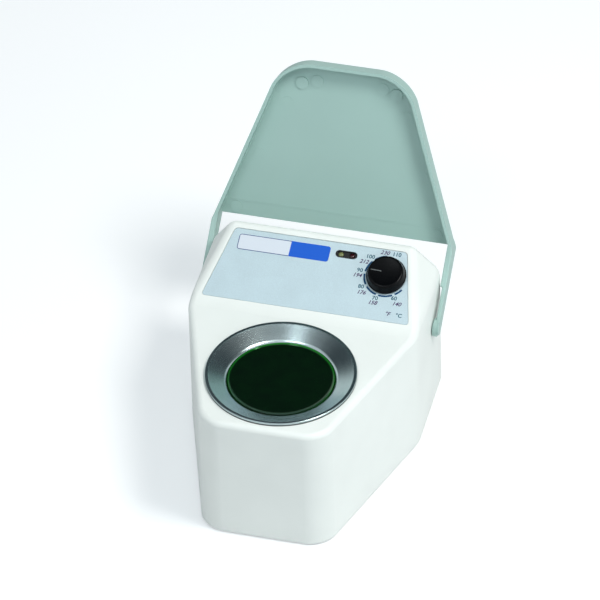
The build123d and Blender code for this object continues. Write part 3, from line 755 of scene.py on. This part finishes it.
def makeArcs():
    x, y = panel["knob"]
    made = []
    for start, end in dial["arcs"]:
        leaveEdit()
        bpy.ops.mesh.primitive_plane_add(size=1)
        piece = bpy.context.object
        piece.data.transform(Matrix.Diagonal((dial["stroke"], 0.001, 1, 1)))
        piece.data.transform(Matrix.Translation((dial["radius"], 0, 0)))
        edit(piece)
        bpy.ops.mesh.remove_doubles(threshold=0.01)
        bpy.ops.mesh.select_mode(type="EDGE")
        bpy.ops.mesh.select_all(action="SELECT")
        steps = max(4, int((end - start) / dial["arcStep"]))
        bpy.ops.mesh.spin(steps=steps, angle=radians(end - start), center=(0, 0, 0), axis=(0, 0, 1))
        bpy.ops.mesh.select_all(action="SELECT")
        bpy.ops.mesh.remove_doubles(threshold=0.002)
        leaveEdit()
        heights = [v.co.y for v in piece.data.vertices]
        turnBy = radians(start if max(heights) > -min(heights) else end)
        piece.data.transform(Matrix.Translation((x, y, 0)) @ Matrix.Rotation(turnBy, 4, "Z"))
        made.append(applied(piece, "SOLIDIFY", thickness=dial["inkHeight"], offset=1))
    piece = join(made)
    piece.name = "dialRing"
    low = min(v.co.z for v in piece.data.vertices)
    piece.data.transform(Matrix.Translation((0, 0, -low)))
    edit(piece)
    bpy.ops.mesh.normals_make_consistent(inside=False)
    leaveEdit()
    onPanel(piece)
    return finished(piece, "housing", inks["ring"], weighted=False)


def makeLabel(v):
    (x0, y0), (x1, y1) = v["low"], v["high"]
    edge, line, corner, thick = v["blockStart"], v["line"], v["corner"], dial["inkHeight"]

    def block(name, left, right, radii, height):
        return newSlab(name, [(left, y0), (right, y0), (right, y1), (left, y1)], radii, 0, height, 6)

    outline = block("labelOutline", x0, x1, [corner] * 4, thick)
    white = block("labelField", x0 + line, edge, [corner - line, 0, 0, corner - line], 2 * thick)
    centre = Matrix.Translation((0, (y0 + y1) / 2, 0))
    lower = Matrix.Diagonal((1, 1 - 2 * line / (y1 - y0), 1, 1))
    white.data.transform(centre @ lower @ centre.inverted())
    solid = block("labelBlock", edge, x1, [0, corner, corner, 0], 1.5 * thick)
    for piece, material in ((outline, "outline"), (white, "field"), (solid, "block")):
        onPanel(piece)
        finished(piece, "housing", inks[material], weighted=False)


def makePanel():
    plate = platePrism("panelPlate", 0, -panel["pocket"], faceHeight)
    reach = housing["reach"]
    hub = newRod("hubTool", housing["hubHole"], -reach, reach)
    move(hub, Matrix.Translation((*panel["knob"], 0)))
    carve(plate, [slotPrism("slotTool", panel["lamps"], panel["slot"], -reach, reach), hub])
    softened(plate, panel["edgeRound"], 2, 60)
    move(plate, panelPlace)
    finished(plate, "housing", plastics["panel"], ["panel_plate"])
    makeLabel(label)
    makeArcs()
    makeText("dialCelsius", dial["celsius"], 0, inks["teal"])
    makeText("dialFahrenheit", dial["fahrenheit"], dial["lean"], inks["plum"])


lamps = {
    "window": (10.8, 3.8, 3),   # length, width, height
    "rim": 0.45,
    "recess": 0.8,
    "spacing": 5.6,
    "bore": 1.4,
    "edgeRound": 0.12,
    "body": (12.4, 5.8, 6.5),
    "seat": -2.2,               # the holder's front, under the panel's field
    "dome": [                   # radius, height from the panel's field
        (0.05, -8.45), (1.35, -8.45), (1.35, -1.25), (1.269, -0.95), (1.053, -0.70), (0.675, -0.53),
        (0.05, -0.45),
    ],
}


def makeLamps(v):
    x, y = panel["lamps"]
    wide, tall, deep = v["body"]
    low, high = (x - wide / 2, y - tall / 2, v["seat"] - deep), (x + wide / 2, y + tall / 2, v["seat"])
    holder = newBox("lampWindow", low, high)
    long, narrow, rise = v["window"]
    carve(holder, [slotPrism("windowRim", panel["lamps"], (long, narrow), -rise, 0)], "UNION")
    inner = (long - 2 * v["rim"], narrow - 2 * v["rim"])
    tools = [slotPrism("recessTool", panel["lamps"], inner, -v["recess"], 2)]
    places = [Matrix.Translation((x + side * v["spacing"] / 2, y, 0)) for side in (-1, 1)]
    for place in places:
        tools.append(move(newRod("lensTool", v["bore"], -20, 2), place))
    carve(holder, tools)
    softened(holder, v["edgeRound"], 2, 50)
    move(holder, panelPlace)
    finished(holder, "housing", plastics["lampHolder"], ["lamp_holder"])
    for name, node, slotName, place in (
        ("powerLens", "power_lamp", "lamp_clear", places[0]),
        ("heatingLens", "heating_lamp", "lamp_red", places[1]),
    ):
        glass = move(newTurned(name, v["dome"], 32), panelPlace @ place)
        finished(glass, "housing", lenses[slotName], [node], 50)


# the dial knob and its inlaid pointer
knob = {
    "angle": 178.0,             # degrees of the pointer at rest
    "gap": 0.5,                 # between the panel's face and the skirt
    "height": 4.8,
    "hub": (4.6, -5.4),         # radius, and where it ends under the panel's face
    "bore": (3.05, 1.6),        # radius, and what is left over the shaft's end
    "hollow": (8.0, 2.6),       # radius and height inside the skirt
    "skirt": [                  # radius, height over the skirt's lower edge
        (9.75, 0), (9.9, 0.15), (9.9, 1.0), (9.78, 1.17), (9.55, 1.35),
    ],
    "top": [                    # radius, depth under the top
        (8.82, 1.0), (8.64, 0.55), (8.38, 0.22), (8.0, 0.04), (7.65, 0), (7.4, 0.03), (6.9, 0.09),
        (5.0, 0.245), (2.5, 0.3255), (0.4, 0.35),
    ],
    "groove": (2.0, 7.4, 0.55, 0.75),   # start, end, width, depth
    "play": 0.02,               # round the pointer in its groove
    "sunk": 0.13,               # the pointer's top under the knob's
    "lineRound": 0.08,
}


def makeKnob(v):
    base = faceHeight + v["gap"]
    top = base + v["height"]
    (hub, hubEnd), (bore, cover), (hollow, roof) = v["hub"], v["bore"], v["hollow"]
    foot = faceHeight + hubEnd
    rings = [(bore, foot), (hub, foot), (hub, base + roof), (hollow, base + roof), (hollow, base)]
    rings += [(radius, base + height) for radius, height in v["skirt"]]
    rings += [(radius, top - depth) for radius, depth in v["top"]]
    piece = newTurned("knob", rings, 128)
    place = panelPlace @ Matrix.Translation((*panel["knob"], 0))
    aim = Matrix.Rotation(radians(v["angle"]), 4, "Z")
    start, end, wide, deep = v["groove"]
    shaft = newRod("shaftTool", bore, -housing["reach"], top - cover)
    groove = newBox("grooveTool", (start, -wide / 2, top - deep), (end, wide / 2, top + 2))
    carve(piece, [shaft, move(groove, aim)])
    finished(move(piece, place), "knob", plastics["knob"], ["control_knob"], 34)
    play, side = v["play"], wide / 2 - v["play"]
    low, high = (start + play, -side, top - deep + play), (end - play, side, top - v["sunk"])
    line = newBox("pointerLine", low, high)
    softened(line, v["lineRound"], 2)
    move(line, place @ aim)
    finished(line, "knob", plastics["pointer"], ["knob_pointer"])


# the dipping pot and the wax in it: all heights are from the flange's face
pot = {
    "top": 72.8,                # the flange's face over the floor
    "lip": (35.0, 0.3),         # radius of the mouth, and where the cone starts under the face
    "coneInner": (29.4, 2.7),   # radius and depth of a point lower on the cone
    "inner": 25.6,
    "throat": 3.4,              # radius of the turn from the cone to the wall
    "outside": [                # radius, height, from under the floor up to the lip
        (0.4, -56), (6.5, -56), (6.5, -50), (21.6, -50), (24.6, -49.2), (26.8, -47), (27.6, -44),
        (27.6, -6.7), (29.4, -4.7), (34.4, -1.3), (34.4, -1.0), (36.55, -1.0), (36.7, -0.85),
        (36.7, -0.3), (36.6, -0.1), (36.4, 0), (35.3, 0), (35.08, -0.08), (35.0, -0.3), (31.4, -1.84),
    ],
    "inside": [(25.6, -41), (24.8, -44), (22.6, -46.2), (19.6, -47), (0.4, -47)],
}
wax = {
    "level": 5.1,               # how far the surface lies under the flange's face
    "filmEdge": 25.8,           # radius at which the lighter band by the wall ends: thin film and painted glow
    "body": [                   # radius, height
        (0.4, -46.9), (19.4, -46.9), (24.6, -43.6), (25.5, -40.8), (25.5, -7.2), (25.65, -6.0),
    ],
    "surface": [                # radius, height over the level: it climbs the wall a little
        (25.65, 0.3), (25.73, 0.92), (25.5, 0.86), (25.2, 0.66), (24.8, 0.46), (24.35, 0.31),
        (23.75, 0.17), (22.95, 0.07), (21.85, 0.02), (20.45, 0), (12, -0.02), (0.4, -0.02),
    ],
}


def throatRings(v, steps=9):
    # from the cone round to the upright wall, as (radius, height)
    (lip, start), (cone, depth) = v["lip"], v["coneInner"]
    lean = (depth - start) / (lip - cone)
    corner = -depth - lean * (cone - v["inner"])
    flat = Vector((1, lean)).normalized()
    steep = pi / 2 - Vector((1, lean)).angle(Vector((1, 0)))
    begin = Vector((v["inner"], corner)) + flat * v["throat"] * tan(steep / 2)
    centre = begin + Vector((lean, -1)).normalized() * v["throat"]
    away = begin - centre
    return [tuple(centre + Matrix.Rotation(steep * n / steps, 2) @ away) for n in range(steps + 1)]


def potTurned(name, rings, sides):
    piece = newTurned(name, [(radius, pot["top"] + height) for radius, height in rings], sides)
    return move(piece, Matrix.Translation((0, potY, 0)))


def makePot(v):
    piece = potTurned("dippingPot", v["outside"] + throatRings(v) + v["inside"], 192)
    finished(piece, "housing", plastics["pot"], ["dipping_pot"], 24)


def makeWax(v):
    surface = [(radius, height - v["level"]) for radius, height in v["surface"]]
    piece = potTurned("wax", v["body"] + surface, 160)
    finished(piece, "housing", plastics["wax"], ["wax_fill"], 60)


# the lid with its two arms, modelled flat and then set up at its tilt
lid = {
    "tilt": 21.5,               # degrees of the tray from upright, as photographed
    "bend": 27.2,               # degrees at the elbow
    "reach": 37.7,              # from the hinge to the elbow
    "hingeY": creaseY + 32.4,
    "hingeHeight": 48.9,
    "half": 61.2,               # half width at the elbow
    "tipHalf": 31.5,
    "length": 86.0,
    "depth": 8.9,
    "wall": 1.6,
    "corner": 15.0,
    "start": 1.3,               # where the tray begins, from the elbow
    "floorRound": 1.5,
    "edgeRound": 0.3,
    "armWide": 7.6,
    "armThick": 3.0,
    "armThin": 2.0,
    "armRound": 0.45,
    "thinReach": 20.0,          # the arm is thinner within this distance of the hinge
    "pin": (3.0, 5.2),          # radius, depth in from the housing's side
    "collar": (4.6, 0.3),       # radius, gap to the housing's side
    "marks": [                  # place across and along, height
        (-22.1, 73.9, 0.7), (-14.6, 75.6, 0.45), (18.4, 76.0, 0.35), (25.5, 74.2, 0.7),
        (-29.0, 62.6, 0.2), (31.2, 63.2, 0.2), (-41.0, 34.0, 0.15), (41.0, 34.0, 0.15),
        (-51.0, 5.0, 0.3), (51.0, 5.0, 0.3),
    ],
    "markRadius": 3.1,
    "crossLine": (9.0, 0.5, 0.14),      # where the fine raised line ends along, width, height
}


def lidPlace(v):
    tilt, lean = radians(v["tilt"]), radians(v["tilt"] + v["bend"])
    elbow = Vector((0, v["hingeY"], v["hingeHeight"])) + v["reach"] * Vector((0, sin(lean), cos(lean)))
    along = Vector((0, sin(tilt), cos(tilt)))
    out = Vector((0, -cos(tilt), sin(tilt)))
    return Matrix.Translation(elbow) @ Matrix((Vector((1, 0, 0)), along, out)).transposed().to_4x4()


def makeArm(v, side):
    bend = radians(v["bend"])
    hinge = Vector((0, -v["reach"] * cos(bend), v["reach"] * sin(bend)))
    across = Matrix.Rotation(pi / 2, 4, "Y")
    inner = v["half"] - v["armThick"]
    elbow = Vector((0, v["depth"] / 5, -v["depth"] / 2))

    def bar(name, place, radius, start, end, sides=48):
        return move(newRod(name, radius, start, end, sides), Matrix.Translation(place) @ across)

    ends = ((hinge, v["armWide"] / 2), (elbow, v["depth"] / 2))
    arm = join([bar("armEnd", place, radius, inner, v["half"]) for place, radius in ends])
    edit(arm)
    bpy.ops.mesh.convex_hull(use_existing_faces=False, join_triangles=False)
    bpy.ops.mesh.select_all(action="SELECT")
    bpy.ops.mesh.dissolve_limited(angle_limit=radians(0.5))
    spread = (v["half"] - v["tipHalf"]) / v["length"]
    sliceOff((v["half"], 0, 0), (1, spread, 0))
    leaveEdit()
    carve(arm, [bar("thinTool", hinge, v["thinReach"], inner - 3, v["half"] - v["armThin"], 96)])
    softened(arm, v["armRound"], 3, 50)
    (pinRadius, depth), (collarRadius, gap) = v["pin"], v["collar"]
    pin = bar("pin", hinge, pinRadius, housing["halfWidth"] - depth, v["half"] - 1)
    collar = bar("collar", hinge, collarRadius, housing["halfWidth"] + gap, v["half"] - 1)
    carve(arm, [collar, pin], "UNION")
    return move(arm, Matrix.Diagonal((side, 1, 1, 1)))


def makeLid(v):
    spread = (v["half"] - v["tipHalf"]) / v["length"]
    low = v["start"]
    rear = v["half"] - spread * low
    corners = [(-rear, low), (rear, low), (v["tipHalf"], v["length"]), (-v["tipHalf"], v["length"])]
    tray = newSlab("lidMoulding", corners, [0, 0, v["corner"], v["corner"]], -v["depth"], 0, 18)
    edit(tray)
    pick("FACE", lambda f: middle(f).z > -0.01 or (abs(f.normal.y + 1) < 0.01))
    bpy.ops.mesh.delete(type="FACE")
    pick("EDGE", lambda e: not e.is_boundary and turn(e) > 60 and middle(e).z < 0.1 - v["depth"])
    bpy.ops.mesh.bevel(offset=v["floorRound"], affect="EDGES", segments=5, clamp_overlap=False)
    applied(tray, "SOLIDIFY", thickness=v["wall"], offset=-1, use_even_offset=True)
    softened(tray, v["edgeRound"], 3, 60)
    base = -v["depth"] + v["wall"]
    root = base - v["wall"] / 2
    marks = []
    for x, u, height in v["marks"]:
        mark = newRod("mark", v["markRadius"], root, base + height, 40)
        marks.append(move(mark, Matrix.Translation((x, u, 0))))
    end, wide, height = v["crossLine"]
    side = v["half"] - spread * end - v["wall"] - 1
    marks.append(newBox("crossLine", (-side, end - wide, root), (side, end, base + height)))
    carve(tray, marks, "UNION")
    carve(tray, [makeArm(v, 1), makeArm(v, -1)], "UNION", folded=True)
    move(tray, lidPlace(v))
    return finished(tray, "lid", plastics["lid"], ["lid"], 34)


# finishes of the modelled pieces, and of the CAD pieces that stay
plastics = {
    "housing": mouldedPlastic("housingPlastic", paint(238, 242, 238), 0.42),
    "lid": mouldedPlastic("lidPlastic", paint(162, 192, 185), 0.40, grain=0.5, drift=0.04),
    "panel": printedSheet("panelFilm", paint(190, 209, 216)),
    "lampHolder": mouldedPlastic("lampBlack", paint(14, 14, 15), 0.35),
    "knob": mouldedPlastic("knobBlack", paint(4, 5, 7), 0.24, depth=0.003, Specular_IOR_Level=0.1),
    "pointer": mouldedPlastic("pointerGrey", paint(88, 92, 92), 0.5),
    "pot": turnedMetal("turnedPot", paint(192, 208, 210), potY),
    "wax": waxFinish("greenWax", potY, wax["filmEdge"]),
}
inks = {
    "outline": ink("inkOutline", paint(42, 66, 128)),
    "field": ink("inkField", paint(212, 219, 228)),
    "block": ink("inkBlock", paint(28, 92, 200)),
    "ring": ink("inkRing", paint(10, 68, 110)),
    "teal": ink("inkTeal", paint(8, 82, 102)),
    "plum": ink("inkPlum", paint(72, 44, 92)),
}
lenses = {
    "lamp_clear": lens("lensGreen", paint(150, 158, 104), 0.05),
    "lamp_red": lens("lensRed", paint(70, 12, 22), 0.05),
}
steel = sheetMetal("zincSteel", paint(176, 178, 180), 0.38)
felt = feltFinish("glassFelt", paint(224, 220, 204))
nodeFinish = {
    "base_plate": mouldedPlastic("baseGrey", paint(150, 156, 152), 0.5),
    "rubber_feet": softRubber("footRubber", paint(38, 38, 40), 0.75),
    "base_screws": steel,
    "thermostat_shaft": steel,
    "thermostat_body": mouldedPlastic("controlBody", paint(50, 50, 54), 0.4),
    "thermostat_screws": steel,
    "sensor_bulb": sheetMetal("copperBulb", paint(190, 118, 84), 0.35),
    "capillary_tube": sheetMetal("copperTube", paint(184, 112, 80), 0.35),
    "pot_gasket": softRubber("gasketRubber", paint(48, 52, 54), 0.6),
    "pot_spacer": felt,
    "pot_screw": steel,
    "heater_band": sheetMetal("heaterJacket", paint(150, 144, 136), 0.45),
    "heater_clamp_screw": steel,
    "insulation_sleeve": felt,
    "temperature_limiter": mouldedPlastic("limiterBlack", paint(40, 36, 34), 0.45),
    "limiter_screws": steel,
    "power_inlet": mouldedPlastic("inletBlack", paint(24, 24, 26), 0.42),
    "inlet_pins": sheetMetal("nickelPins", paint(206, 202, 190), 0.22),
    "inlet_screws": steel,
    "terminal_block": mouldedPlastic("blockIvory", paint(214, 210, 196), 0.5),
    "terminal_screws": sheetMetal("brassScrews", paint(206, 172, 96), 0.32),
}
print("materials made")

makeHousing(housing)
makePanel()
makeLamps(lamps)
makeKnob(knob)
makePot(pot)
makeWax(wax)
makeLid(lid)
for name, material in nodeFinish.items():
    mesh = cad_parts[name].data
    mesh.materials.clear()
    mesh.materials.append(material)
print("all pieces made")
